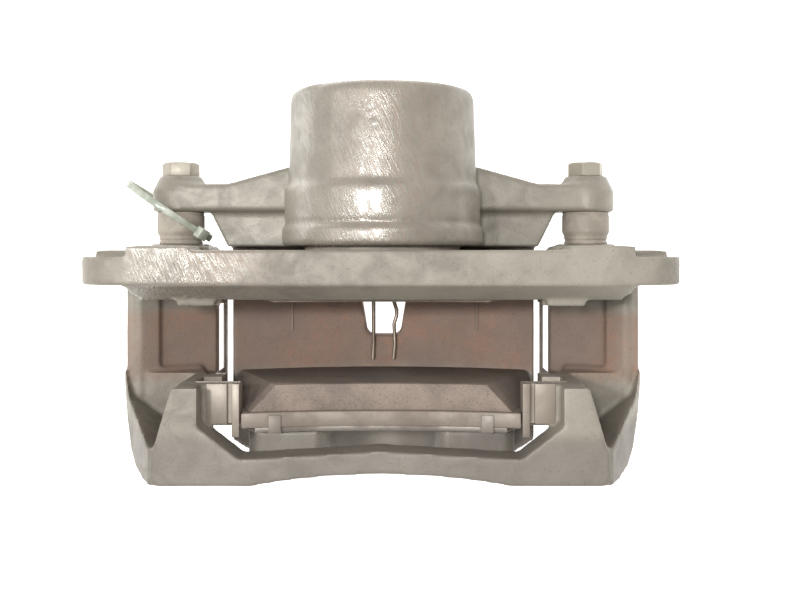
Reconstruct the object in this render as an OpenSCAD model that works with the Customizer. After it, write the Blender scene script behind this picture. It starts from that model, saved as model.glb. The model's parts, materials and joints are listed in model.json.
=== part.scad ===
// Single-piston floating brake caliper with its bracket, pads and hardware.
// Origin: midway between the two mounting holes, on the mounting face.
// X runs from hole to hole, +Y points inboard along the piston, +Z points to the hub.

/* [Disc] */
// Outer radius of the brake disc
disc_r = 150; // [148:1:151]
// Thickness of the brake disc
disc_w = 28; // [26:0.5:28]
// Distance from the piston axis to the hub axis
hub_z = 122; // [121:0.5:123]

/* [Piston and cylinder] */
// Diameter of the piston
piston_d = 60; // [57:0.5:60]
// Length of the piston
piston_len = 48; // [44:1:50]
// Outer diameter of the cylinder at its mouth
mouth_d = 79; // [78:0.5:80]
// Outer diameter of the cylinder along its barrel
barrel_d = 74; // [71:0.5:74]
// Inboard end of the cylinder, from the bracket's inboard face
barrel_end = 62; // [60:1:64]

/* [Guide pins] */
// Distance between the guide pin axes
pin_spacing = 167; // [166:0.5:168]
// Diameter of the guide pins
pin_d = 10; // [9:0.5:10]
// Depth of the pin axes behind the piston axis
pin_drop = 18; // [17.5:0.5:18.5]

/* [Mounting] */
// Distance between the mounting holes
mount_spacing = 190; // [188:0.5:191]
// Diameter of the mounting holes
mount_hole_d = 14; // [12:1:14]
// Height of the mounting holes above the piston axis
mount_rise = 33; // [32:0.5:33]

/* [Pads] */
// Thickness of the friction material
friction_w = 9.8; // [8:0.2:9.8]
// Thickness of a backing plate
plate_w = 5.5; // [5:0.1:5.5]
// Thickness of a shim
shim_w = 1.9; // [1:0.1:1.9]

/* [Bridge] */
// Half the width of the bridge over the disc
bridge_x = 62.7; // [61:0.1:63]
// Thickness of the bridge
bridge_w = 14; // [13:0.5:14]
// Half the width of the two fingers
finger_x = 50; // [48:0.5:51]
// Half the width of the notch between the fingers
notch_x = 20.4; // [18:0.2:21]

/* [Hidden] */
$fn = 96;
far = 300;                        // longer than the whole caliper
eps = 0.1;                        // overrun of a cut past a face

// Depths along Y, from the bracket's inboard face
spot_depth = 2.5;                 // mounting face below the inboard face
disc_y = -34.35;                  // middle of the disc
face_y = disc_y - disc_w / 2 - 1.05;
base_y = face_y - friction_w;
back_y = base_y - plate_w;
shim_y = back_y - shim_w;
finger_y = shim_y - 0.1;
finger_end = finger_y - 18;
mouth_y = 1.5;
piston_y = 2 * disc_y - shim_y + 0.1;
plate_y = -12.5;                  // outboard face of the bracket's inboard plate
ear_y = 15.5;                     // face of the caliper's ears over the boots
lug_top = 30.4;

// Radii and heights around the piston and hub axes
piston_r = piston_d / 2;
bore_r = piston_r + 0.05;
disc_gap_r = disc_r + 4;          // bracket arms clear the disc
under_r = disc_r + 5;             // inside of the bridge
bridge_back = -(under_r + bridge_w - hub_z);
pin_x = pin_spacing / 2;
pin_r = pin_d / 2;
pin_hole_r = pin_r + 0.06;
bolt_r = 4;
hole_x = mount_spacing / 2;
hole_r = mount_hole_d / 2;
front_z = 46;                     // hub side of the bracket
arm_back = -30;                   // back of the bracket arms

// Abutments that carry the pad ears
ear_low = 14.4;
ear_high = 26.6;
ear_tip = 67.5;
sheet = 0.5;                      // thickness of the clip's sheet steel
slot_low = ear_low - 0.9;
slot_high = ear_high + 0.9;
lip_low = 2;
lip_high = 34.4;
lip_x = 51.8;                     // tip of the outboard upper lip
lip_stub_x = 60;                  // tip of the inboard upper lip
toe_x = 61.6;                     // tip of the lower lip
slot_x = ear_tip + 1.1;
arm_x = 69;                       // inner wall of the arms
abut_near = face_y + 1.1;         // abutment's end at the disc
abut_far = abut_near - 14.5;
strip_x = 65.2;                   // strip that joins the two ends of a clip
clip_edge = 63;                   // outer edge of a clip over the upper lip
fold_x = lip_x + 1.5;             // fold across the top of a clip
fold_w = 2.3;
fold_depth = 1.7;

// Bleeder and inlet behind the cylinder
port_z = -33;
bleeder_x = -27;
inlet_x = 28.5;
bleeder_face = 46;
inlet_face = 58;
inlet_r = 5;
bleeder_r = 3.5;

// Puts a piece drawn around the piston axis into the part's own frame
module placed() translate([0, spot_depth, -mount_rise]) children();

// Outline in X and Z, solid from y_low to y_high
module across(y_low, y_high)
    translate([0, y_high, 0]) rotate([90, 0, 0]) linear_extrude(y_high - y_low) children();

// Outline in X and Y, solid from z_low to z_high
module deep(z_low, z_high)
    translate([0, 0, z_low]) linear_extrude(z_high - z_low) children();

// Profile of radius and Y, turned around an axis along Y
module turned(x = 0, z = 0)
    translate([x, 0, z]) rotate([-90, 0, 0]) rotate_extrude() children();

// Round bar along Y
module bar(r, y_low, y_high, x = 0, z = 0)
    translate([x, y_low, z]) rotate([-90, 0, 0]) cylinder(r = r, h = y_high - y_low);

// The same thing on the left and on the right
module both_sides() {
    children();
    mirror([1, 0, 0]) children();
}

// The inboard pad and abutments mirror the outboard ones about the disc
module inboard() translate([0, 2 * disc_y, 0]) mirror([0, 1, 0]) children();

module hub_circle(r) translate([0, hub_z]) circle(r = r, $fn = 240);

module span(x_low, x_high, y_low, y_high)
    translate([x_low, y_low]) square([x_high - x_low, y_high - y_low]);

module rounded_span(x_low, x_high, y_low, y_high, r) {
    span(x_low + r, x_high - r, y_low, y_high);
    span(x_low, x_high, y_low + r, y_high - r);
    for (x = [x_low + r, x_high - r], y = [y_low + r, y_high - r])
        translate([x, y]) circle(r = r, $fn = 48);
}

// ---- Bracket -------------------------------------------------------------

beam_low = 31;
draft_y = -18.2;                  // foot of the beam's drafted face
draft_x = 90;
ear_r = 12.9;
spot_r = 14;
boss_r = 12;
boss_top = 2.5;
pin_depth = -60;

// Inboard plate: beam, mounting ears and the two legs down to the arms
module inboard_plate_outline() {
    rounded_span(-hole_x, hole_x, beam_low, front_z, 1.5);
    both_sides() {
        translate([hole_x, mount_rise]) circle(r = ear_r);
        polygon([[65, 40], [104, 40], [hole_x + ear_r, mount_rise], [102, 0], [102, -14],
            [90, arm_back], [70, arm_back], [65, -17]]);
    }
}

module inboard_beam() {
    across(plate_y, 0) inboard_plate_outline();
    // drafted face towards the disc
    translate([-draft_x, 0, 0]) rotate([90, 0, 90]) linear_extrude(2 * draft_x)
        polygon([[plate_y + 1, beam_low], [plate_y + 1, front_z], [plate_y, front_z],
            [draft_y, beam_low + 2], [draft_y + 2, beam_low]]);
    // raised pads over the pins
    both_sides() intersection() {
        across(-1, 1.6) polygon([[67, front_z], [90, front_z], [97, 20], [97, -8], [80, arm_back],
            [72, arm_back], [67, -10]]);
        deep(-60, front_z) polygon([[64, -1], [67, 1.6], [88.5, 1.6], [90, 0.8], [94, 0.8], [95, -1]]);
    }
    both_sides() bar(boss_r, -1, boss_top, pin_x, -pin_drop);
}

pocket_x = 89;                    // outer end of the pocket under each arm

// Arm that runs over the disc, clear of its rim
module arm_outline() difference() {
    polygon([[arm_x, 1], [98, 1], [102, -3], [102, -14], [90, arm_back], [72, arm_back],
        [arm_x, arm_back + 4]]);
    hub_circle(disc_gap_r);
}

module arm() difference() {
    across(-66, plate_y + eps) arm_outline();
    // shallow pocket in the face that looks at the disc
    intersection() {
        deep(arm_back, 10) rounded_span(40, pocket_x, face_y - 0.8, -5, 1.5);
        across(-60, plate_y) hub_circle(disc_gap_r + 2.5);
    }
}

// Column and outboard wall behind the outboard pad
wall_y = -71;
wall_end = -83;
module column() {
    intersection() {
        across(wall_end, abut_near + 2.6)
            polygon([[64.3, front_z], [78, front_z], [82, front_z - 2], [102, 0], [102, -14],
                [90, arm_back], [78, arm_back], [arm_x, 0], [66, 20]]);
        deep(-60, front_z)
            polygon([[60, -46.8], [73, -46.8], [80.2, wall_y], [98, -57], [101, -46.8], [103, -46.8],
                [102, -53], [99.5, -66], [96, -76.5], [92, -81], [86, wall_end], [60, wall_end]]);
    }
    // below the arm's face the V-shaped pocket is closed
    intersection() {
        across(-80, -46.8)
            polygon([[arm_x, 0], [99, 0], [102, -3], [102, -14], [90, arm_back], [79, arm_back],
                [73.5, -10]]);
        deep(-60, 10)
            polygon([[60, -46], [102, -46], [102, -53], [99.5, -66], [96, -76.5], [93, -80], [60, -80]]);
    }
}

// Wall that joins the two columns on the hub side
wall_arc_r = 250;
module outboard_beam() intersection() {
    deep(beam_low, front_z) difference() {
        polygon([[-77, wall_end - 1], [-81, wall_end + 3], [-80.2, wall_y], [-70, -57],
            [-65.3, -61.2], [-49.6, -73.3], [-44, -73], [0, -70.4], [44, -73], [49.6, -73.3],
            [65.3, -61.2], [70, -57], [80.2, wall_y], [81, wall_end + 3], [77, wall_end - 1]]);
        // shallow arc along the outer edge
        translate([0, -wall_arc_r - 78.7]) circle(r = wall_arc_r, $fn = 240);
    }
    translate([-far / 2, 0, 0]) rotate([90, 0, 90]) linear_extrude(far)
        span(wall_end, -50, beam_low, front_z);
}

// Slotted abutment for one end of a pad's backing plate
module abutment(tip_x) difference() {
    deep(lip_low, lip_high) span(tip_x, 74, abut_far, abut_near);
    deep(slot_low - 0.05, slot_high + 0.05) span(lip_x - 1, slot_x, abut_far - 1, abut_near + 1);
    deep(lip_low - 1, slot_low) span(lip_x - 1, toe_x, abut_far - 1, abut_near + 1);
    // room for the fold of the clip
    deep(lip_high - fold_depth, lip_high + 1)
        span(fold_x - 0.1, fold_x + fold_w + sheet + 0.1, abut_far - 1, abut_near + 1);
}

module bracket() placed() color("#8f867b") difference() {
    union() {
        inboard_beam();
        outboard_beam();
        both_sides() {
            arm();
            column();
            abutment(lip_x);
            inboard() abutment(lip_stub_x);
        }
    }
    both_sides() {
        bar(pin_hole_r, pin_depth, boss_top + eps, pin_x, -pin_drop);
        bar(hole_r, -20, 5, hole_x, mount_rise);
        bar(spot_r, -spot_depth, 5, hole_x, mount_rise);
        // the pad's ear slides in through the inboard plate
        across(plate_y - 8.5, 3) span(60, slot_x, slot_low - 0.05, slot_high + 0.05);
        across(shim_y, abut_near + 3) span(60, slot_x, slot_low - 0.05, slot_high + 0.05);
        // the arc of the disc also clears the column's foot
        across(-48.5, -21) hub_circle(disc_gap_r);
    }
}

// ---- Abutment clips ------------------------------------------------------

// Channel round a pad's ear, and the leg that wraps the lower lip
module clip_end(tip_x, leg_far) {
    across(abut_far, abut_near) {
        span(tip_x - 0.6, slot_x - 0.1, slot_high - sheet, slot_high);
        span(slot_x - 0.1 - sheet, slot_x - 0.1, slot_low, slot_high);
        span(toe_x - 0.6, slot_x - 0.1, slot_low, slot_low + sheet);
    }
    across(leg_far, abut_near) {
        span(toe_x - 0.6, toe_x - 0.1, lip_low - 0.6, slot_low + sheet);
        span(toe_x - 0.6, strip_x + sheet, lip_low - 0.6, lip_low - 0.1);
        span(strip_x, strip_x + sheet, -24, lip_low - 0.1);
    }
}

module clip() {
    clip_end(lip_x, abut_far);
    inboard() clip_end(lip_stub_x, 2 * disc_y - plate_y + 0.15);
    // the outboard end also wraps the upper lip
    across(abut_far, abut_near) translate([0, lip_high + 0.1]) {
        span(fold_x + fold_w, clip_edge, 0, sheet);
        span(fold_x + fold_w, fold_x + fold_w + sheet, -fold_depth, sheet);
        span(fold_x, fold_x + fold_w + sheet, -fold_depth, sheet - fold_depth);
        span(fold_x, fold_x + sheet, -fold_depth, sheet);
        span(lip_x - 0.6, lip_x - 0.1, slot_high - sheet - lip_high, sheet);
    }
    // narrow flange that guides the pad in
    across(abut_far - 4.8, abut_near)
        span(lip_x - 0.6, fold_x + sheet, lip_high + 0.1, lip_high + 0.1 + sheet);
    across(abut_near - 1, 2 * disc_y - abut_near + 1) span(strip_x, strip_x + sheet, -24, -16);
}

module clip_right() placed() color("#b9b4aa") clip();
module clip_left() placed() color("#b9b4aa") mirror([1, 0, 0]) clip();

// ---- Guide pins, boots and bolts -----------------------------------------

pin_end = -52;
bushing_y = -41;
bushing_core = 3.6;
pin_head_r = 7;
pin_head_y = 11.5;
thread_end = -8;

module pin_shaft() difference() {
    union() {
        bar(pin_r, pin_end + 1, pin_head_y + 1);
        bar(pin_r - 1, pin_end, pin_end + 1.5);
        bar(pin_head_r, pin_head_y, ear_y);
    }
    bar(bolt_r, thread_end, ear_y + eps);
    // flats for a spanner
    both_sides() across(pin_head_y - eps, ear_y + eps) span(6, 10, -10, 10);
}

module guide_pin_left() placed() color("#9a9a98") translate([-pin_x, 0, -pin_drop]) pin_shaft();

module guide_pin_right() placed() color("#9a9a98") translate([pin_x, 0, -pin_drop]) difference() {
    pin_shaft();
    // waist for the rubber bushing
    turned() span(bushing_core, 20, pin_end + 2, bushing_y);
}

module pin_bushing() placed() color("#2b2b2b") turned(pin_x, -pin_drop)
    span(bushing_core + 0.02, pin_r - 0.02, pin_end + 2.05, bushing_y - 0.05);

// Rubber sleeve between the bracket and the caliper's ear
module pin_boot() turned() difference() {
    polygon([[0, boss_top], [8.9, boss_top], [8.9, 3.4], [8.5, 3.9], [8.9, 4.5], [8.9, 5.6], [9.5, 7.2],
        [9.7, 7.6], [9.6, 14.2], [9.4, ear_y], [0, ear_y]]);
    span(-1, 7.4, boss_top + 2, ear_y + 1);
    span(-1, pin_r + 0.05, 0, 6);
}

module pin_boot_left() placed() color("#4c4640") translate([-pin_x, 0, -pin_drop]) pin_boot();
module pin_boot_right() placed() color("#4c4640") translate([pin_x, 0, -pin_drop]) pin_boot();

head_af = 13;
head_h = 5.5;
module pin_bolt() {
    bar(bolt_r - 0.02, -4, lug_top + 1);
    intersection() {
        translate([0, lug_top, 0]) rotate([-90, 0, 0]) rotate([0, 0, 10])
            cylinder(d = head_af / cos(30), h = head_h, $fn = 6);
        turned() polygon([[0, lug_top], [8, lug_top], [8, lug_top + head_h - 1],
            [6.2, lug_top + head_h], [0, lug_top + head_h]]);
    }
}

module pin_bolt_left() placed() color("#8d877c") translate([-pin_x, 0, -pin_drop]) pin_bolt();
module pin_bolt_right() placed() color("#8d877c") translate([pin_x, 0, -pin_drop]) pin_bolt();

// ---- Caliper housing -----------------------------------------------------

bore_end = 53;
seal_y = 12;
seal_w = 3.5;
seal_r = piston_r + 2.5;
boot_groove_r = piston_r + 3.6;
mouth_r = mouth_d / 2;
barrel_r = barrel_d / 2;

module barrel() turned() difference() {
    polygon([
        [0, mouth_y], [mouth_r - 1, mouth_y], [mouth_r, mouth_y + 1], [mouth_r, 8.6],
        [mouth_r - 1, 9.3], [mouth_r - 1.8, 10], [mouth_r - 1.4, 10.8], [mouth_r - 1, 11.6],
        [mouth_r - 1, 22.3],
        [barrel_r + 1.2, 24.2], [barrel_r, 25.6], [barrel_r - 1, barrel_end - 3.5],
        [barrel_r - 1.6, barrel_end - 1.4], [barrel_r - 3.4, barrel_end], [0, barrel_end]
    ]);
    span(-1, 0, -50, 100);
}

// Arc of the bridge over the disc, flat along its back
module bridge_outline() difference() {
    intersection() {
        hub_circle(under_r + bridge_w + 1);
        span(-80, 80, bridge_back, 0);
    }
    hub_circle(under_r);
}

module bridge() intersection() {
    across(finger_end, 27) intersection() {
        bridge_outline();
        span(-bridge_x, bridge_x, -60, 0);
    }
    deep(-60, 10) polygon([[-bridge_x, 27], [bridge_x, 27], [bridge_x, finger_end + 6],
        [bridge_x - 8, finger_end], [8 - bridge_x, finger_end], [-bridge_x, finger_end + 6]]);
}

// Rounded inside corner between the bridge and the fingers
corner_r = 10;
module inside_corner() intersection() {
    translate([-finger_x, 0, 0]) rotate([90, 0, 90]) linear_extrude(2 * finger_x) difference() {
        span(finger_y - 1, finger_y + corner_r, -40, -22);
        translate([finger_y + corner_r, -33 + corner_r]) circle(r = corner_r);
        span(finger_y + corner_r, 0, -40, 0);
    }
    across(-80, -40) difference() {
        span(-finger_x, finger_x, -40, -20);
        translate([0, hub_z]) circle(r = disc_r + 3.5, $fn = 240);
    }
}

module fingers() intersection() {
    across(finger_end, finger_y) difference() {
        union() {
            span(-finger_x, finger_x, bridge_back, 12);
            both_sides() rounded_span(notch_x, finger_x, -30, 24, 5);
        }
        span(-notch_x, notch_x, 0, 40);
        circle(r = notch_x);
        // corners at the back follow the bridge
        difference() {
            span(-80, 80, -80, -20);
            hub_circle(under_r + bridge_w + 1);
        }
    }
    // fingers taper towards their tips
    translate([-far / 2, 0, 0]) rotate([90, 0, 90]) linear_extrude(far)
        polygon([[finger_y, 24], [finger_y - 11, 24], [finger_y - 13, 21], [finger_end, -22],
            [finger_end, bridge_back + 5], [finger_end + 5, bridge_back], [finger_y, bridge_back]]);
}

// Block behind the cylinder that carries the ears
web_z = -10;
module back_block() intersection() {
    across(mouth_y - 0.3, 27) intersection() {
        span(-72, 72, bridge_back, web_z);
        hub_circle(under_r + bridge_w + 1);
    }
    deep(-60, 0) polygon([[-70, ear_y], [-63, mouth_y - 0.3], [63, mouth_y - 0.3], [70, ear_y], [70, 27],
        [-70, 27]]);
}

lug_r = 11.3;
module ear() {
    turned(pin_x, -pin_drop) polygon([[0, ear_y], [lug_r, ear_y], [lug_r + 0.2, 24], [lug_r - 1, 26.4],
        [8.4, lug_top], [0, lug_top]]);
    intersection() {
        across(ear_y, 35) span(20, pin_x, -28, -7);
        deep(-60, 0) polygon([[0, ear_y], [pin_x, ear_y], [pin_x, 27], [63.4, 26.6], [38.6, 33.4],
            [0, 33.4]]);
        across(0, 60) hub_circle(under_r + bridge_w + 1);
    }
}

module ports_body() {
    bar(8, 20, bleeder_face, bleeder_x, port_z);
    bar(10, 20, inlet_face, inlet_x, port_z);
    // ribs that tie the two bosses to the cylinder
    across(20, bleeder_face - 2) polygon([[bleeder_x - 6, port_z + 2], [bleeder_x + 6, port_z - 4],
        [-12, -20], [-24, -18]]);
    across(20, inlet_face - 2) polygon([[inlet_x + 8.5, port_z + 2], [inlet_x - 6, port_z - 5],
        [12, -20], [30, -14]]);
}

// Inspection window through the bridge
module window_outline() {
    polygon([[-7.4, -33.5], [-9.2, -22.7], [-11.5, -10.5], [11.5, -10.5], [9.2, -22.7], [7.4, -33.5]]);
    span(-4.6, 4.6, -36.4, -33);
    both_sides() translate([4.6, -33.6]) circle(r = 2.8, $fn = 48);
}

module passages() {
    // drilled passages from the two ports into the cylinder
    translate([bleeder_x, 40, port_z]) rotate([0, 39.3, 0]) cylinder(r = 1.5, h = 24, $fn = 32);
    translate([inlet_x, 44, port_z]) rotate([0, -40.8, 0]) cylinder(r = 1.5, h = 24, $fn = 32);
}

module caliper_housing() placed() color("#857a6d") difference() {
    union() {
        barrel();
        bridge();
        inside_corner();
        fingers();
        back_block();
        both_sides() ear();
        ports_body();
    }
    bar(bore_r, mouth_y - 5, bore_end);
    bar(piston_r + 2.6, mouth_y - 5, mouth_y + 1.3);
    bar(seal_r + 0.05, seal_y, seal_y + seal_w);
    bar(boot_groove_r, mouth_y + 1.2, mouth_y + 5.2);
    deep(-60, 0) window_outline();
    both_sides() bar(bolt_r + 0.4, ear_y - 1, lug_top + 1, pin_x, -pin_drop);
    bar(inlet_r, inlet_face - 16, inlet_face + 1, inlet_x, port_z);
    bar(bleeder_r, bleeder_face - 13, bleeder_face + 1, bleeder_x, port_z);
    passages();
    translate([0, rivet_y, -60]) cylinder(r = rivet_r, h = 60, $fn = 48);
}

// ---- Piston, seals and bleeder -------------------------------------------

cup_r = 23;
module piston() placed() color("#b5b3ad") turned() difference() {
    polygon([[0, piston_y + 40], [cup_r - 3, piston_y + 40], [cup_r, piston_y + 37], [cup_r, piston_y],
        [piston_r - 1, piston_y], [piston_r - 0.5, piston_y + 0.5], [piston_r - 0.5, piston_y + 1],
        [piston_r - 1.6, piston_y + 1], [piston_r - 1.6, piston_y + 2.8], [piston_r, piston_y + 2.8],
        [piston_r, piston_y + piston_len - 1.5], [piston_r - 1.5, piston_y + piston_len],
        [0, piston_y + piston_len]]);
    span(-1, 0, -50, 100);
}

module piston_seal() placed() color("#1f1f1f") turned()
    span(piston_r + 0.02, seal_r, seal_y + 0.1, seal_y + seal_w - 0.1);

// Folded rubber ring between the piston's nose and the cylinder's mouth
module dust_boot() placed() color("#35302c") turned() {
    span(piston_r + 1.7, boot_groove_r - 0.1, mouth_y + 1.9, mouth_y + 3.4);
    span(piston_r + 1.7, piston_r + 2.5, mouth_y - 0.6, mouth_y + 2);
    span(piston_r + 0.4, piston_r + 2.5, mouth_y - 1.3, mouth_y - 0.5);
    span(piston_r + 0.4, piston_r + 1.1, mouth_y - 1.4, mouth_y + 1);
    span(piston_r - 1.5, piston_r + 0.8, piston_y + 1.1, piston_y + 2.2);
}

// Spring ring that holds the dust boot in its groove
module boot_ring() placed() color("#a8a49c") difference() {
    turned() translate([piston_r + 2.6, mouth_y + 4.3]) circle(r = 0.75, $fn = 32);
    across(0, 10) polygon([[0, 0], [-4, -60], [4, -60]]);
}

bleeder_tip = 66;
bleeder_bore = 1;
module bleeder_screw() placed() color("#b3a98f") difference() {
    union() {
        turned(bleeder_x, port_z) polygon([[0, bleeder_face - 10], [bleeder_r - 1.5, bleeder_face - 10],
            [bleeder_r - 0.05, bleeder_face - 8], [bleeder_r - 0.05, bleeder_face + 2],
            [2.6, bleeder_face + 2.4], [2.6, bleeder_tip - 7], [3.1, bleeder_tip - 5],
            [2.6, bleeder_tip], [0, bleeder_tip]]);
        translate([bleeder_x, bleeder_face + 2, port_z]) rotate([-90, 0, 0])
            cylinder(d = 9 / cos(30), h = 6.5, $fn = 6);
    }
    bar(bleeder_bore, bleeder_face - 4, bleeder_tip + 1, bleeder_x, port_z);
    translate([bleeder_x, bleeder_face - 3, port_z - 5]) cylinder(r = bleeder_bore, h = 10, $fn = 32);
}

module bleeder_cap() placed() color("#1d1d1d") turned(bleeder_x, port_z) difference() {
    polygon([[0, bleeder_face + 9.5], [4.4, bleeder_face + 9.5], [4.6, bleeder_tip - 1],
        [3.6, bleeder_tip + 1.4], [0, bleeder_tip + 1.6]]);
    span(-1, 3.15, bleeder_face + 8, bleeder_tip + 0.1);
}

// ---- Pads ----------------------------------------------------------------

friction_outer_r = disc_r + 2;
friction_low = 25.8;              // middle of the block's arched edge
pad_angle = 22.6;                 // each end of the friction face lies on a radius
plate_top = 27.6;                 // middle of the plate's arched edge
plate_corner = 36;
plate_x = 50.8;                   // half the width of a plate above its ears
arch_r = 218;
inboard_drop = 2.9;               // the inboard pad passes under the beam

// Everything on the hub's side of an edge that is arched around the hub
module above_arch(low) translate([0, low + arch_r]) circle(r = arch_r, $fn = 360);

module plate_outline(drop) difference() {
    intersection() {
        hub_circle(friction_outer_r + 0.5);
        polygon([[-plate_x, plate_corner], [plate_x, plate_corner], [plate_x, ear_high],
            [ear_tip, ear_high], [ear_tip, ear_low], [60, ear_low], [61, -6], [58, -60], [-58, -60],
            [-61, -6], [-60, ear_low], [-ear_tip, ear_low], [-ear_tip, ear_high],
            [-plate_x, ear_high]]);
    }
    above_arch(plate_top - drop);
}

module backing_plate(drop = 0) across(back_y, base_y) plate_outline(drop);

// Block with radial ends, chamfered over its whole depth
module friction(drop = 0) difference() {
    across(base_y, face_y) difference() {
        intersection() {
            hub_circle(friction_outer_r);
            polygon([[-48.4, 33], [48.4, 33], [55, 12], [60.2, -2], [60.2, -60], [-60.2, -60],
                [-60.2, -2], [-55, 12]]);
        }
        above_arch(friction_low - drop);
    }
    both_sides() translate([0, 0, hub_z]) rotate([0, -pad_angle, 0]) deep(-170, -80)
        polygon([[0, face_y + eps], [50, face_y + eps], [50, base_y - eps],
            [(friction_w + eps) * 0.93, base_y - eps], [0, face_y]]);
}

module shim(drop = 0) {
    across(shim_y, back_y) intersection() {
        hub_circle(disc_r - 2);
        difference() {
            polygon([[-46, 33], [46, 33], [46, 30], [50, 24], [56, 10], [56, -60], [-56, -60],
                [-56, 10], [-50, 24], [-46, 30]]);
            above_arch(plate_top - 1 - drop);
        }
    }
    // tabs that hook over the edge of the plate
    both_sides() across(shim_y, base_y - 1) tab_outline(0.05, drop);
    both_sides() across(shim_y, back_y) tab_outline(-2, drop);
}

module tab_outline(low, drop) difference() {
    intersection() {
        span(36.5, 41, 20, 36);
        above_arch(plate_top + low - drop);
    }
    above_arch(plate_top + 0.65 - drop);
}

module outboard_plate() placed() color("#6f675e") backing_plate();
module outboard_friction() placed() color("#77706a") friction();
module outboard_shim() placed() color("#8b857d") shim();
module inboard_plate() placed() color("#6f675e") inboard() backing_plate(inboard_drop);
module inboard_friction() placed() color("#77706a") inboard() friction(inboard_drop);
module inboard_shim() placed() color("#8b857d") inboard() shim(inboard_drop);

// ---- Spring in the window and cable tie ----------------------------------

wire_r = 0.8;
wire_x = 4.35;
wire_z = -31.9;
wire_end = -46.5;
rivet_y = -6.8;
rivet_r = 1.8;

// Hairpin that lies along the inside of the bridge
module pad_spring() placed() color("#8c8c8a") {
    both_sides() bar(wire_r, wire_end, rivet_y, wire_x, wire_z);
    both_sides() translate([wire_x, wire_end, wire_z]) sphere(r = wire_r, $fn = 32);
    intersection() {
        translate([0, rivet_y, wire_z]) rotate_extrude() translate([wire_x, 0]) circle(r = wire_r, $fn = 32);
        deep(-60, 0) span(-10, 10, rivet_y, 10);
    }
}

module spring_rivet() placed() color("#9b968c") {
    translate([0, rivet_y, bridge_back + 2]) cylinder(r = rivet_r - 0.02, h = 12.5, $fn = 48);
    translate([0, rivet_y, wire_z - 1]) cylinder(r = wire_x - wire_r - 0.1, h = 2.4, $fn = 48);
}

tie_r = 19.6;
tie_w = 2.6;
tie_t = 1.1;
tie_x = -88.6;
tie_y = 16.5;
tie_slope = -34;
tie_tilt = -3;
tie_head_turn = 32;

// Plastic strap looped round the left ear, with its square head
module cable_tie() placed() color("#7d857a")
    translate([tie_x, tie_y, -pin_drop]) rotate([0, 0, tie_slope]) rotate([tie_tilt, 0, 0]) {
        turned() span(tie_r, tie_r + tie_t, -tie_w / 2, tie_w / 2);
        rotate([0, -tie_head_turn, 0]) translate([tie_r + tie_t - 0.1, -2.2, -2.4]) cube([3, 4.4, 4.8]);
        rotate([0, -tie_head_turn, 0]) translate([tie_r + tie_t + 0.6, -tie_w / 2, -6.4])
            cube([tie_t, tie_w, 5]);
    }

bracket();
clip_left();
clip_right();
guide_pin_left();
guide_pin_right();
pin_bushing();
pin_boot_left();
pin_boot_right();
pin_bolt_left();
pin_bolt_right();
caliper_housing();
piston();
piston_seal();
dust_boot();
boot_ring();
bleeder_screw();
bleeder_cap();
outboard_plate();
outboard_friction();
outboard_shim();
inboard_plate();
inboard_friction();
inboard_shim();
pad_spring();
spring_rivet();
cable_tie();
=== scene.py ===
import json
from math import cos, exp, pi, radians, sin

import bpy
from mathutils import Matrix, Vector


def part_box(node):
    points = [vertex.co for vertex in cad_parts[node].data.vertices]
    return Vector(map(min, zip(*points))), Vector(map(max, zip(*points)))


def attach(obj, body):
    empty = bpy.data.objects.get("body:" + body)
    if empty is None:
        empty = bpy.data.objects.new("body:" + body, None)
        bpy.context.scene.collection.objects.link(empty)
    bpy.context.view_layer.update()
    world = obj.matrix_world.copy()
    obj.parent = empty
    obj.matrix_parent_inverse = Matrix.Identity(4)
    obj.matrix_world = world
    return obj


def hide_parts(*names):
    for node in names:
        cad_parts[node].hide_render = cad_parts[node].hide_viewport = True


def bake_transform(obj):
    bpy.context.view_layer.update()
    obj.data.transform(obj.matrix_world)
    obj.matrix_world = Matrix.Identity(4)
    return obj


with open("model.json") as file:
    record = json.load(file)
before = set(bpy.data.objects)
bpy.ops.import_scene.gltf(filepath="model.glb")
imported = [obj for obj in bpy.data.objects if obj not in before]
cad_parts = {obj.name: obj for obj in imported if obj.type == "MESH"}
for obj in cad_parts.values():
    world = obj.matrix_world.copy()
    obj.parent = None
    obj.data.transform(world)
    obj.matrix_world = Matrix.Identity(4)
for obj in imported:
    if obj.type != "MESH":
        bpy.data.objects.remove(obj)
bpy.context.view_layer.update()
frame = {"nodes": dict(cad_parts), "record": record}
record = frame["record"]
mounts = {mount["name"]: mount for mount in record["mounts"]}
nodeSlots = {row["node"]: row["material_slot"] for row in record["subparts"]}
bodyOf = {node: body for body, members in record["behaviour"]["bodies"].items() for node in members}
mm = 0.001


def middle(node):
    low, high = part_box(node)
    return (Vector(low) + Vector(high)) / 2


pistonAxis = middle("piston")
leftPin = middle("guide_pin_left")
rightPin = middle("guide_pin_right")
backZ = mounts["bridge_back"]["pos_m"][2]
mountRight = mounts["bracket_bolts"]["dims"]["spacing_x_mm"] / 2 * mm
print("frame loaded, piston axis at height", round(pistonAxis.z, 4))


# ---------- small tools for pieces

def onlySelect(piece):
    if bpy.context.object and bpy.context.object.mode != "OBJECT":
        bpy.ops.object.mode_set(mode="OBJECT")
    bpy.ops.object.select_all(action="DESELECT")
    piece.select_set(True)
    bpy.context.view_layer.objects.active = piece


def applyModifier(piece, kind, **values):
    onlySelect(piece)
    modifier = piece.modifiers.new(kind.lower(), kind)
    for key, value in values.items():
        setattr(modifier, key, value)
    bpy.ops.object.modifier_apply(modifier=modifier.name)


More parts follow.
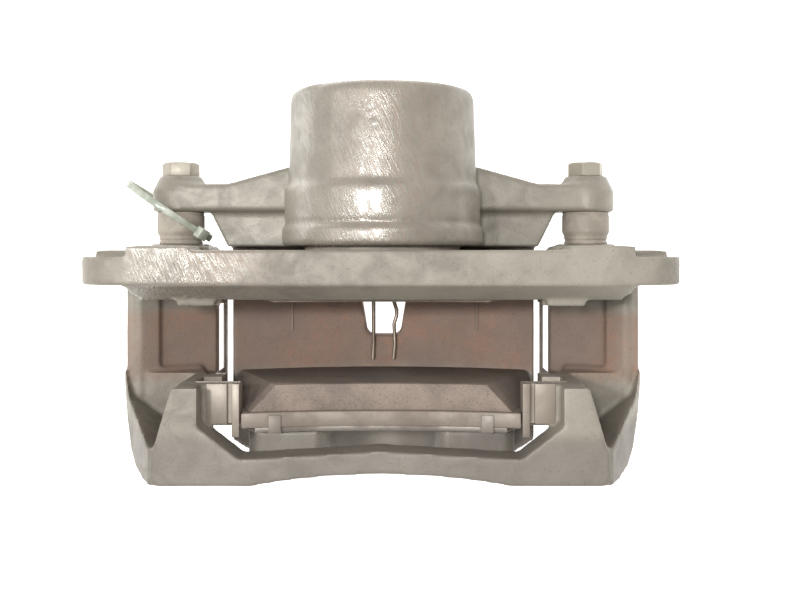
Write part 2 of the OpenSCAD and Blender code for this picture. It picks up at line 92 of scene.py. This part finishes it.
def copyNode(node, name):
    # a merged copy of a CAD node's mesh, to be refined
    onlySelect(frame["nodes"][node])
    bpy.ops.object.duplicate()
    piece = bpy.context.object
    for key in list(piece.keys()):
        del piece[key]
    piece.parent = None
    piece.name = name
    piece.data.name = name
    piece.data.materials.clear()
    bpy.ops.object.mode_set(mode="EDIT")
    bpy.ops.mesh.select_all(action="SELECT")
    bpy.ops.mesh.remove_doubles(threshold=0.000002)
    bpy.ops.object.mode_set(mode="OBJECT")
    return piece


def finishPiece(piece, body, slot, material, *nodes, angle=35):
    onlySelect(piece)
    bpy.ops.object.transform_apply(location=True, rotation=True, scale=True)
    bpy.ops.object.shade_smooth_by_angle(angle=radians(angle))
    piece.data.materials.clear()
    piece.data.materials.append(material)
    if body:
        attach(piece, body)
    if nodes:
        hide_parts(*nodes)
    return piece


# ---------- materials

def newMaterial(name):
    material = bpy.data.materials.new(name)
    material.use_nodes = True
    tree = material.node_tree
    shader = tree.nodes["Principled BSDF"]
    coords = tree.nodes.new("ShaderNodeTexCoord")
    return material, tree, shader, coords.outputs["Object"]


def noiseNode(tree, vector, scale, detail=4, rough=0.55, distortion=0):
    node = tree.nodes.new("ShaderNodeTexNoise")
    node.inputs["Scale"].default_value = scale
    node.inputs["Detail"].default_value = detail
    node.inputs["Roughness"].default_value = rough
    node.inputs["Distortion"].default_value = distortion
    tree.links.new(vector, node.inputs["Vector"])
    return node.outputs["Fac"]


def rangeNode(tree, value, low, high, start=0.0, end=1.0):
    node = tree.nodes.new("ShaderNodeMapRange")
    node.interpolation_type = "SMOOTHSTEP"
    node.inputs["From Min"].default_value = low
    node.inputs["From Max"].default_value = high
    node.inputs["To Min"].default_value = start
    node.inputs["To Max"].default_value = end
    tree.links.new(value, node.inputs["Value"])
    return node.outputs["Result"]


def mathNode(tree, operation, first, second):
    node = tree.nodes.new("ShaderNodeMath")
    node.operation = operation
    for socket, value in zip(node.inputs, (first, second)):
        if isinstance(value, (int, float)):
            socket.default_value = value
        else:
            tree.links.new(value, socket)
    return node.outputs["Value"]


def times(tree, *values):
    result = values[0]
    for value in values[1:]:
        result = mathNode(tree, "MULTIPLY", result, value)
    return result


def mixColour(tree, factor, first, second):
    node = tree.nodes.new("ShaderNodeMix")
    node.data_type = "RGBA"
    for socket, value in ((node.inputs[0], factor), (node.inputs[6], first), (node.inputs[7], second)):
        if isinstance(value, (int, float)):
            socket.default_value = value
        elif isinstance(value, tuple):
            socket.default_value = (*value, 1)
        else:
            tree.links.new(value, socket)
    return node.outputs[2]


def stretched(tree, vector, scale, turn=(0, 0, 0)):
    node = tree.nodes.new("ShaderNodeMapping")
    node.vector_type = "TEXTURE"
    node.inputs["Scale"].default_value = [1 / s for s in scale]
    node.inputs["Rotation"].default_value = turn
    tree.links.new(vector, node.inputs["Vector"])
    return node.outputs["Vector"]


def bumpNode(tree, shader, heights):
    # heights is a list of (height, distance in metres, strength)
    last = None
    for height, distance, strength in heights:
        node = tree.nodes.new("ShaderNodeBump")
        node.inputs["Distance"].default_value = distance
        node.inputs["Strength"].default_value = strength
        tree.links.new(height, node.inputs["Height"])
        if last:
            tree.links.new(last, node.inputs["Normal"])
        last = node.outputs["Normal"]
    tree.links.new(last, shader.inputs["Normal"])


def edgeWear(tree, low=0.52, high=0.62):
    node = tree.nodes.new("ShaderNodeNewGeometry")
    return rangeNode(tree, node.outputs["Pointiness"], low, high)


castLook = {
    "dark": (0.165, 0.146, 0.120),
    "mid": (0.240, 0.216, 0.178),
    "dust": (0.325, 0.295, 0.243),
    "rust": (0.370, 0.205, 0.130),
    "brown": (0.262, 0.190, 0.153),
    # the colour of the painted shade at the outboard end
    "paintedShade": (0.130, 0.112, 0.098),
    "soot": (0.060, 0.050, 0.045),
}


# where each casting is browned along Y and oiled along X, and how much, and how strongly painted shade
# darkens its outboard end
ironValues = {
    "bracketIron": {"rough": 0.56, "brownFrom": -0.053, "brownTo": -0.019, "browned": 0.85,
                    "oilLeft": -0.088, "oilRight": -0.056, "oil": 0.15, "paintedShade": 0.53},
    "housingIron": {"rough": 0.46, "brownFrom": -0.052, "brownTo": 0.004, "browned": 1.0,
                    "oilLeft": -0.030, "oilRight": 0.004, "oil": 0.9, "paintedShade": 0.52},
}


def castIron(name):
    values = ironValues[name]
    rough, oilLeft, oilRight = values["rough"], values["oilLeft"], values["oilRight"]
    material, tree, shader, place = newMaterial(name)
    axes = tree.nodes.new("ShaderNodeSeparateXYZ")
    tree.links.new(place, axes.inputs[0])
    broad = noiseNode(tree, place, 22, 4, 0.55)
    patches = noiseNode(tree, place, 110, 6, 0.62, 0.6)
    grain = noiseNode(tree, place, 1100, 3, 0.6)
    pits = noiseNode(tree, place, 2600, 2, 0.5)
    streaks = noiseNode(tree, stretched(tree, place, (1500, 170, 300), (0, 0, radians(25))), 1, 4, 0.62)
    wiped = times(tree, rangeNode(tree, axes.outputs["X"], oilRight + 0.020, oilRight - 0.008),
                  rangeNode(tree, axes.outputs["X"], oilLeft - 0.006, oilLeft + 0.004),
                  rangeNode(tree, axes.outputs["Y"], -0.022, -0.012))
    wipes = mathNode(tree, "ADD", times(tree, mathNode(tree, "SUBTRACT", streaks, 0.5), wiped), 0.5)
    colour = mixColour(tree, rangeNode(tree, patches, 0.28, 0.68), castLook["dark"], castLook["mid"])
    colour = mixColour(tree, rangeNode(tree, broad, 0.38, 0.68, 0.15, 0.75), colour, castLook["dust"])
    # heat-browned faces that look at the disc
    baked = times(tree, rangeNode(tree, axes.outputs["Y"], values["brownFrom"], values["brownFrom"] + 0.008),
                  rangeNode(tree, axes.outputs["Y"], values["brownTo"], values["brownTo"] - 0.006),
                  rangeNode(tree, axes.outputs["Z"], -0.026, -0.038), values["browned"])
    flame = times(tree, rangeNode(tree, noiseNode(tree, place, 26, 3, 0.5), 0.42, 0.66),
                  rangeNode(tree, noiseNode(tree, place, 420, 4, 0.6), 0.40, 0.66, 0.3, 1))
    colour = mixColour(tree, baked, colour, castLook["brown"])
    colour = mixColour(tree, times(tree, baked, flame, 0.8), colour, castLook["rust"])
    # painted shade: the outboard end, past Y = -0.06, is darkened
    shadedOutboardEnd = rangeNode(tree, axes.outputs["Y"], -0.060, -0.066, 0, values["paintedShade"])
    colour = mixColour(tree, shadedOutboardEnd, colour, castLook["paintedShade"])
    colour = mixColour(tree, rangeNode(tree, grain, 0.56, 0.76, 0, 0.40), colour, castLook["soot"])
    # lighter streaks along the oil wipes: partly wiped dust, partly a painted highlight for streaky glints
    colour = mixColour(tree, rangeNode(tree, wipes, 0.54, 0.74, 0, 0.12), colour, castLook["dust"])
    colour = mixColour(tree, times(tree, edgeWear(tree), 0.4), colour, castLook["dust"])
    # painted reflection: a streaked brown band at the oil's right border stands in for something dark
    # reflected in the oily cylinder
    darkReflection = times(tree, rangeNode(tree, axes.outputs["X"], oilRight + 0.024, oilRight + 0.008),
                    rangeNode(tree, axes.outputs["X"], oilLeft, oilRight),
                    rangeNode(tree, axes.outputs["Y"], -0.022, -0.012),
                    rangeNode(tree, streaks, 0.54, 0.38, 0, 0.6))
    colour = mixColour(tree, darkReflection, colour, castLook["brown"])
    tree.links.new(colour, shader.inputs["Base Color"])
    # a film of oil on the inboard side, wiped off in slanting streaks
    oily = times(tree, wiped, rangeNode(tree, noiseNode(tree, place, 45, 3, 0.5), 0.30, 0.50),
                 rangeNode(tree, streaks, 0.42, 0.56, 0.35, 1))
    dry = rangeNode(tree, patches, 0.3, 0.7, rough + 0.10, rough - 0.02)
    dry = mathNode(tree, "SUBTRACT", dry, times(tree, oily, rough * 0.66))
    dry = mathNode(tree, "ADD", dry, times(tree, baked, 0.30))
    tree.links.new(dry, shader.inputs["Roughness"])
    shader.inputs["Specular IOR Level"].default_value = 0.7
    shader.inputs["Metallic"].default_value = 0.25
    tree.links.new(times(tree, oily, values["oil"]), shader.inputs["Coat Weight"])
    shader.inputs["Coat Roughness"].default_value = 0.17
    bumpNode(tree, shader, [(grain, 0.00016, 0.5), (pits, 0.00006, 0.5), (wipes, 0.0005, 0.45)])
    return material


def sheetSteel(name, colour, dirt, rough, metallic=0.85, scratches=0.4):
    material, tree, shader, place = newMaterial(name)
    broad = noiseNode(tree, place, 70, 5, 0.6)
    fine = noiseNode(tree, place, 1400, 3, 0.6)
    lines = noiseNode(tree, stretched(tree, place, (300, 4200, 900)), 1, 2, 0.5)
    worn = tuple(min(1, c * 1.3) for c in colour)
    shade = mixColour(tree, rangeNode(tree, broad, 0.40, 0.66, 0.1, 0.85), colour, dirt)
    shade = mixColour(tree, rangeNode(tree, fine, 0.55, 0.75, 0, 0.35), shade, tuple(c * 0.4 for c in dirt))
    shade = mixColour(tree, times(tree, edgeWear(tree), 0.6), shade, worn)
    tree.links.new(shade, shader.inputs["Base Color"])
    tree.links.new(rangeNode(tree, broad, 0.35, 0.7, rough - 0.08, rough + 0.16), shader.inputs["Roughness"])
    shader.inputs["Metallic"].default_value = metallic
    bumpNode(tree, shader, [(fine, 0.00005, 0.4), (lines, 0.00004, scratches)])
    return material


def rubber(name, colour, dust):
    material, tree, shader, place = newMaterial(name)
    broad = noiseNode(tree, place, 120, 5, 0.6)
    fine = noiseNode(tree, place, 1800, 3, 0.6)
    shade = mixColour(tree, rangeNode(tree, broad, 0.38, 0.66, 0.15, 0.9), colour, dust)
    shade = mixColour(tree, rangeNode(tree, fine, 0.58, 0.75, 0, 0.3), shade, tuple(c * 0.5 for c in colour))
    tree.links.new(shade, shader.inputs["Base Color"])
    tree.links.new(rangeNode(tree, broad, 0.3, 0.7, 0.48, 0.75), shader.inputs["Roughness"])
    bumpNode(tree, shader, [(fine, 0.00006, 0.5)])
    return material


def compound(name):
    # friction material: grains and metal flecks in a binder
    material, tree, shader, place = newMaterial(name)
    broad = noiseNode(tree, place, 60, 4, 0.6)
    cells = tree.nodes.new("ShaderNodeTexVoronoi")
    cells.inputs["Scale"].default_value = 900
    tree.links.new(place, cells.inputs["Vector"])
    fine = noiseNode(tree, place, 1500, 3, 0.65)
    fleck = rangeNode(tree, cells.outputs["Distance"], 0.16, 0.08, 0, 0.5)
    shade = mixColour(tree, rangeNode(tree, broad, 0.35, 0.68), (0.270, 0.212, 0.172), (0.185, 0.145, 0.120))
    shade = mixColour(tree, rangeNode(tree, fine, 0.56, 0.70, 0, 0.6), shade, (0.065, 0.055, 0.050))
    shade = mixColour(tree, fleck, shade, (0.42, 0.36, 0.29))
    # painted shade: darker lower down, below the hub edge, where the face towards the disc lies in shade
    axes = tree.nodes.new("ShaderNodeSeparateXYZ")
    tree.links.new(place, axes.inputs[0])
    shade = mixColour(tree, rangeNode(tree, axes.outputs["Z"], -0.0070, -0.0115, 0, 0.42), shade,
                      (0.085, 0.072, 0.064))
    tree.links.new(shade, shader.inputs["Base Color"])
    tree.links.new(rangeNode(tree, fine, 0.3, 0.7, 0.62, 0.88), shader.inputs["Roughness"])
    bumpNode(tree, shader, [(fine, 0.0002, 0.6), (cells.outputs["Distance"], 0.0001, 0.4)])
    return material


def nylon(name):
    material, tree, shader, place = newMaterial(name)
    broad = noiseNode(tree, place, 150, 3, 0.5)
    shade = mixColour(tree, rangeNode(tree, broad, 0.35, 0.65), (0.300, 0.325, 0.265), (0.500, 0.520, 0.440))
    tree.links.new(shade, shader.inputs["Base Color"])
    tree.links.new(rangeNode(tree, broad, 0.3, 0.7, 0.22, 0.38), shader.inputs["Roughness"])
    bumpNode(tree, shader, [(noiseNode(tree, place, 900, 2, 0.5), 0.00005, 0.3)])
    return material


looks = {
    "cast_bracket": castIron("bracketIron"),
    "cast_housing": castIron("housingIron"),
    "clip_steel": sheetSteel("clipSteel", (0.27, 0.235, 0.195), (0.19, 0.158, 0.128), 0.50, 0.35),
    "pin_steel": sheetSteel("pinSteel", (0.50, 0.50, 0.49), (0.16, 0.13, 0.09), 0.28),
    "bolt_steel": sheetSteel("boltSteel", (0.40, 0.365, 0.30), (0.28, 0.25, 0.20), 0.50, 0.4),
    "boot_rubber": rubber("bootRubber", (0.260, 0.225, 0.185), (0.400, 0.355, 0.295)),
    "bushing_rubber": rubber("bushingRubber", (0.02, 0.02, 0.02), (0.05, 0.05, 0.05)),
    "seal_rubber": rubber("sealRubber", (0.015, 0.015, 0.015), (0.03, 0.03, 0.03)),
    "piston_steel": sheetSteel("pistonSteel", (0.60, 0.59, 0.56), (0.33, 0.30, 0.25), 0.22, 0.95, 0.2),
    "bleeder_steel": sheetSteel("bleederZinc", (0.50, 0.42, 0.24), (0.24, 0.19, 0.12), 0.34, 0.85),
    "cap_rubber": rubber("capRubber", (0.018, 0.018, 0.018), (0.07, 0.065, 0.055)),
    "plate_steel": sheetSteel("plateSteel", (0.265, 0.222, 0.186), (0.200, 0.162, 0.134), 0.55, 0.25),
    "friction": compound("frictionCompound"),
    "shim_steel": sheetSteel("shimSteel", (0.25, 0.22, 0.19), (0.16, 0.135, 0.112), 0.50, 0.4),
    "spring_steel": sheetSteel("springSteel", (0.30, 0.25, 0.20), (0.15, 0.11, 0.08), 0.36, 0.8),
    "tie_plastic": nylon("tieNylon"),
}
for node, shown in frame["nodes"].items():
    shown.data.materials.clear()
    shown.data.materials.append(looks[nodeSlots[node]])
print("materials made:", len(looks))


# ---------- cast bodies

castings = {
    "bracket": {"piece": "bracketCasting", "voxel": 0.00092, "rounds": 3, "lumps": 0.00016},
    "caliper_housing": {"piece": "housingCasting", "voxel": 0.00105, "rounds": 3, "lumps": 0.00016},
}
# rough spots left in the castings: place, reach and depth
flaws = {
    "bracket": [((-0.072, -0.016, 0.001), 0.007, 0.0013), ((-0.058, -0.016, -0.002), 0.005, 0.0007)],
    "caliper_housing": [((-0.0035, 0.051, 0.004), 0.0042, 0.0012), ((-0.0005, 0.046, 0.004), 0.003, 0.0009)],
}


# radii around the mounting holes, pins and cylinder's mouth that stay crisp, and how deep they go along Y
machined = {"earFace": 0.0145, "earFrom": -0.004, "pinBore": 0.0065, "mouth": 0.0345, "mouthTo": 0.03}


def machinedBracket(place):
    ear = Vector((abs(place.x) - mountRight, place.z)).length
    pin = Vector((abs(place.x) - rightPin.x, place.z - rightPin.z)).length
    return (ear < machined["earFace"] and place.y > machined["earFrom"]) or pin < machined["pinBore"]


def machinedHousing(place):
    off = Vector((place.x, place.z - pistonAxis.z)).length
    return off < machined["mouth"] and place.y < machined["mouthTo"]


def castSurface(node, machined):
    values = castings[node]
    piece = copyNode(node, values["piece"])
    applyModifier(piece, "REMESH", mode="VOXEL", voxel_size=values["voxel"], adaptivity=0.0)
    group = piece.vertex_groups.new(name="cast")
    group.add([v.index for v in piece.data.vertices if not machined(v.co)], 1.0, "REPLACE")
    applyModifier(piece, "SMOOTH", factor=0.5, iterations=values["rounds"], vertex_group="cast")
    lumps = bpy.data.textures.new(values["piece"] + "Lumps", "CLOUDS")
    lumps.noise_scale = 0.011
    lumps.noise_depth = 3
    applyModifier(piece, "DISPLACE", texture=lumps, texture_coords="LOCAL", mid_level=0.85,
                  strength=values["lumps"], vertex_group="cast")
    pitted = bpy.data.textures.new(values["piece"] + "Pits", "CLOUDS")
    pitted.noise_scale = 0.0016
    pitted.noise_depth = 2
    for index, (place, reach, depth) in enumerate(flaws[node]):
        spot = piece.vertex_groups.new(name="flaw" + str(index))
        for vertex in piece.data.vertices:
            away = (vertex.co - Vector(place)).length / reach
            if away < 2:
                spot.add([vertex.index], exp(-away * away * 1.5), "REPLACE")
        applyModifier(piece, "DISPLACE", texture=pitted, texture_coords="LOCAL", mid_level=0.62,
                      strength=depth, vertex_group=spot.name)
    finishPiece(piece, bodyOf[node], nodeSlots[node], looks[nodeSlots[node]], node, angle=60)
    print(values["piece"], "has", len(piece.data.polygons), "faces")
    return piece


castSurface("bracket", machinedBracket)
castSurface("caliper_housing", machinedHousing)


# ---------- steel pieces refined from their CAD solids

bevels = {
    "pin_bolt_left": 0.00035, "pin_bolt_right": 0.00035,
    "outboard_plate": 0.0004, "inboard_plate": 0.0004,
    "outboard_friction": 0.0005, "inboard_friction": 0.0005,
    "outboard_shim": 0.0002, "inboard_shim": 0.0002,
    "clip_left": 0.00016, "clip_right": 0.00016,
    "bleeder_screw": 0.0002, "bleeder_cap": 0.0003, "cable_tie": 0.0003, "spring_rivet": 0.0002,
    "piston": 0.0003, "guide_pin_left": 0.0002, "guide_pin_right": 0.0002,
}


def softened(node, width):
    piece = copyNode(node, node + "_part")
    bpy.ops.object.mode_set(mode="EDIT")
    bpy.ops.mesh.select_all(action="SELECT")
    bpy.ops.mesh.dissolve_limited(angle_limit=radians(1))
    bpy.ops.object.mode_set(mode="OBJECT")
    applyModifier(piece, "BEVEL", width=width, segments=2, limit_method="ANGLE", angle_limit=radians(28),
                  use_clamp_overlap=True)
    return finishPiece(piece, bodyOf[node], nodeSlots[node], looks[nodeSlots[node]], node)


for node, width in bevels.items():
    softened(node, width)
print("softened pieces:", len(bevels))


# ---------- chains of points, turned or swept

def chain(name, points):
    # one vertex, extruded from point to point; left in edit mode
    bpy.ops.object.select_all(action="DESELECT")
    bpy.ops.mesh.primitive_plane_add(size=0.001, location=(0, 0, 0))
    piece = bpy.context.object
    piece.name = name
    bpy.ops.object.mode_set(mode="EDIT")
    bpy.ops.mesh.select_all(action="SELECT")
    bpy.ops.mesh.merge(type="CENTER")
    bpy.ops.transform.translate(value=points[0])
    for first, second in zip(points, points[1:]):
        step = Vector(second) - Vector(first)
        bpy.ops.mesh.extrude_vertices_move(TRANSFORM_OT_translate={"value": step})
    return piece


def lathe(name, profile, centre, steps=96):
    # a closed profile of (radius, y) turned around an axis along Y through centre
    points = [Vector((centre.x + r, y, centre.z)) for r, y in profile]
    piece = chain(name, points + points[:1])
    bpy.ops.mesh.select_all(action="SELECT")
    bpy.ops.mesh.remove_doubles(threshold=0.000001)
    bpy.ops.mesh.select_all(action="SELECT")
    bpy.ops.mesh.spin(steps=steps, angle=2 * pi, center=centre, axis=(0, 1, 0))
    bpy.ops.mesh.select_all(action="SELECT")
    bpy.ops.mesh.remove_doubles(threshold=0.000001)
    bpy.ops.mesh.select_all(action="SELECT")
    bpy.ops.mesh.normals_make_consistent(inside=False)
    bpy.ops.object.mode_set(mode="OBJECT")
    return piece


def rounded(profile, radius, parts=3):
    # the same closed profile with its corners rounded
    result = []
    count = len(profile)
    for index in range(count):
        before = Vector(profile[index - 1])
        corner = Vector(profile[index])
        after = Vector(profile[(index + 1) % count])
        reach = min(radius, (before - corner).length * 0.45, (after - corner).length * 0.45)
        first = corner + (before - corner).normalized() * reach
        last = corner + (after - corner).normalized() * reach
        for part in range(parts + 1):
            t = part / parts
            result.append(tuple(first * (1 - t) ** 2 + corner * 2 * t * (1 - t) + last * t * t))
    return result


def sweep(name, points, radius):
    # a round wire along a chain of points, closed at its ends
    piece = chain(name, points)
    onlySelect(piece)
    bpy.ops.object.convert(target="CURVE")
    curve = bpy.context.object
    curve.data.bevel_depth = radius
    curve.data.bevel_resolution = 4
    curve.data.use_fill_caps = True
    bpy.ops.object.convert(target="MESH")
    piece = bpy.context.object
    bpy.ops.object.mode_set(mode="EDIT")
    bpy.ops.mesh.select_all(action="SELECT")
    bpy.ops.mesh.remove_doubles(threshold=0.000001)
    bpy.ops.mesh.normals_make_consistent(inside=False)
    bpy.ops.object.mode_set(mode="OBJECT")
    return piece


# ---------- rubber sleeves over the guide pins

sleeve = {"outer": 9.6, "waist": 8.75, "inner": 7.5, "grip": 5.05, "from": 5.0, "to": 18.0}


def pinSleeve(node, pin, name):
    o, w, i, g = sleeve["outer"], sleeve["waist"], sleeve["inner"], sleeve["grip"]
    a, b = sleeve["from"], sleeve["to"]
    profile = [(g, a), (w + 0.1, a), (w + 0.1, a + 0.7), (w - 0.35, a + 1.2), (w - 0.35, a + 1.6),
               (w, a + 2.1), (w, a + 3.2), (o - 0.15, a + 4.6), (o, a + 5.1), (o - 0.05, b - 1.4),
               (o - 0.3, b - 1.1), (o - 0.3, b - 0.8), (o - 0.1, b - 0.5), (o - 0.2, b), (i, b),
               (i, a + 2.2), (g, a + 2.2)]
    profile = rounded([(r * mm, y * mm) for r, y in profile], 0.00035)
    piece = lathe(name, profile, Vector((pin.x, 0, pin.z)))
    finishPiece(piece, None, nodeSlots[node], looks[nodeSlots[node]], node, angle=50)
    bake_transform(piece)
    return piece


pinSleeve("pin_boot_left", leftPin, "pinSleeveLeft")
pinSleeve("pin_boot_right", rightPin, "pinSleeveRight")
print("sleeves turned")


# ---------- dust boot between the piston's nose and the cylinder's mouth

dustFold = {"thick": 0.7, "groove": 33.4, "nose": 28.6, "mouth": 5.9, "noseY": 1.6}


def dustBoot():
    t, m, n = dustFold["thick"], dustFold["mouth"], dustFold["noseY"]
    # out of the groove, one fold towards the disc, back to the piston's nose
    outer = [(dustFold["groove"], m + 1.5), (dustFold["groove"], m + 0.1), (32.4, m + 0.1), (32.4, 4.6),
             (31.9, 3.9), (31.2, 3.8), (30.75, 4.3), (30.75, 4.8), (30.55, 4.3), (30.55, n + 0.2),
             (30.2, n), (dustFold["nose"], n)]
    inner = [(dustFold["nose"], n + t), (29.95, n + t), (30.1, n + t + 0.4), (30.1, m - 0.6),
             (30.9, m - 0.3), (31.25, m - 0.8), (31.5, 4.6), (31.7, 4.6), (31.75, m + 1.5)]
    profile = rounded([(r * mm, y * mm) for r, y in outer + inner], 0.0003)
    piece = lathe("dustBootFold", profile, Vector((pistonAxis.x, 0, pistonAxis.z)), 128)
    finishPiece(piece, None, nodeSlots["dust_boot"], looks["boot_rubber"], "dust_boot", angle=50)
    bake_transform(piece)
    return piece


dustBoot()
print("dust boot turned")


# ---------- hairpin spring in the window

hairpin = {"wire": 0.8, "half": 4.35, "depth": -64.9, "tip": -44.0, "bend": -4.3, "kink": 1.1}


def padSpring():
    h, x = hairpin, hairpin["half"]
    left = [(-x - 0.3, h["tip"]), (-x, -37.5), (-x, -27.5), (-x, h["bend"])]
    turn = [(-x * cos(a), h["bend"] + x * sin(a)) for a in (radians(k) for k in range(15, 180, 15))]
    right = [(x, h["bend"]), (x, -19.5), (x + h["kink"], -23), (x + h["kink"], -25.5), (x, -29),
             (x + 0.4, -37.5), (x - 0.2, h["tip"])]
    points = [Vector((px, py, h["depth"])) * mm for px, py in left + turn + right]
    piece = sweep("hairpinSpring", points, h["wire"] * mm)
    return finishPiece(piece, "housing", "spring_steel", looks["spring_steel"], "pad_spring", angle=50)


padSpring()


# ---------- casting marks under the bridge

marks = {"places": [-38.6, 39.4], "from": -31.5, "to": -11.5, "half": 0.55, "under": 155.0, "hub": 122}


def bridgeMarks():
    hubZ = pistonAxis.z / mm + marks["hub"]
    for index, x in enumerate(marks["places"]):
        z = hubZ - (marks["under"] ** 2 - x * x) ** 0.5
        steps = (marks["from"], -27.5, -21.5, -15.5, marks["to"])
        points = [Vector((x, y, z + 0.1)) * mm for y in steps]
        piece = sweep("bridgeMark" + str(index), points, marks["half"] * mm)
        finishPiece(piece, "housing", "cast_housing", looks["cast_housing"], angle=50)


bridgeMarks()
print("spring and marks swept")


# ---------- floor, light and camera

studio = {"floor": 3.0, "glow": 1.0, "dome": 0.82}
# place and size in metres, energy in watts
lights = {
    "roofLight": {"place": (-0.95, 0.25, 0.95), "size": 0.9, "energy": 3.6, "colour": (1.0, 0.985, 0.955)},
    "keyLight": {"place": (-0.24, 0.06, 0.60), "size": 0.065, "energy": 1.5, "colour": (0.97, 0.985, 1.0)},
    "lampLight": {"place": (-0.06, 0.06, 0.62), "size": 0.06, "energy": 1.5, "colour": (0.98, 0.99, 1.0)},
    "sideLight": {"place": (0.60, 0.10, 0.10), "size": 0.4, "energy": 0.15, "colour": (1.0, 0.95, 0.90)},
}
lightTarget = Vector((0, 0, -0.03))

bpy.ops.object.select_all(action="DESELECT")
bpy.ops.mesh.primitive_plane_add(size=studio["floor"], location=(0, 0, backZ - 0.0003))
floor = bpy.context.object
floor.name = "floor"
floorLook, floorTree, floorShader, floorPlace = newMaterial("paleFloor")
floorTone = mixColour(floorTree, noiseNode(floorTree, floorPlace, 4, 3),
                      (0.86, 0.86, 0.85), (0.9, 0.9, 0.895))
floorTree.links.new(floorTone, floorShader.inputs["Base Color"])
floorShader.inputs["Roughness"].default_value = 0.6
floorShader.inputs["Emission Color"].default_value = (1.0, 1.0, 1.0, 1)
floorShader.inputs["Emission Strength"].default_value = studio["glow"]
floor.data.materials.append(floorLook)

world = bpy.data.worlds.new("studio")
bpy.context.scene.world = world
world.use_nodes = True
world.node_tree.nodes["Background"].inputs["Color"].default_value = (1.0, 0.985, 0.96, 1)
world.node_tree.nodes["Background"].inputs["Strength"].default_value = studio["dome"]


def softLight(name):
    values = lights[name]
    data = bpy.data.lights.new(name, "AREA")
    data.shape = "DISK"
    data.size = values["size"]
    data.energy = values["energy"]
    data.color = values["colour"]
    lamp = bpy.data.objects.new(name, data)
    bpy.context.scene.collection.objects.link(lamp)
    lamp.location = values["place"]
    lamp.rotation_mode = "QUATERNION"
    lamp.rotation_quaternion = (lightTarget - Vector(values["place"])).to_track_quat("-Z", "Y")


for name in lights:
    softLight(name)

# place in metres, with the height above the piston's axis, and a lens in millimetres
cameraPlace = {"aside": 0.0069, "along": 0.0025, "above": 0.400, "lens": 45.54, "shift": -0.0625}
cameraData = bpy.data.cameras.new("camera")
cameraData.sensor_width = 36
cameraData.lens = cameraPlace["lens"]
cameraData.shift_y = cameraPlace["shift"]
camera = bpy.data.objects.new("camera", cameraData)
bpy.context.scene.collection.objects.link(camera)
camera.location = (cameraPlace["aside"], cameraPlace["along"], pistonAxis.z + cameraPlace["above"])
bpy.context.scene.camera = camera
bpy.context.scene.view_settings.view_transform = "Standard"
print("camera at", tuple(round(c, 4) for c in camera.location))
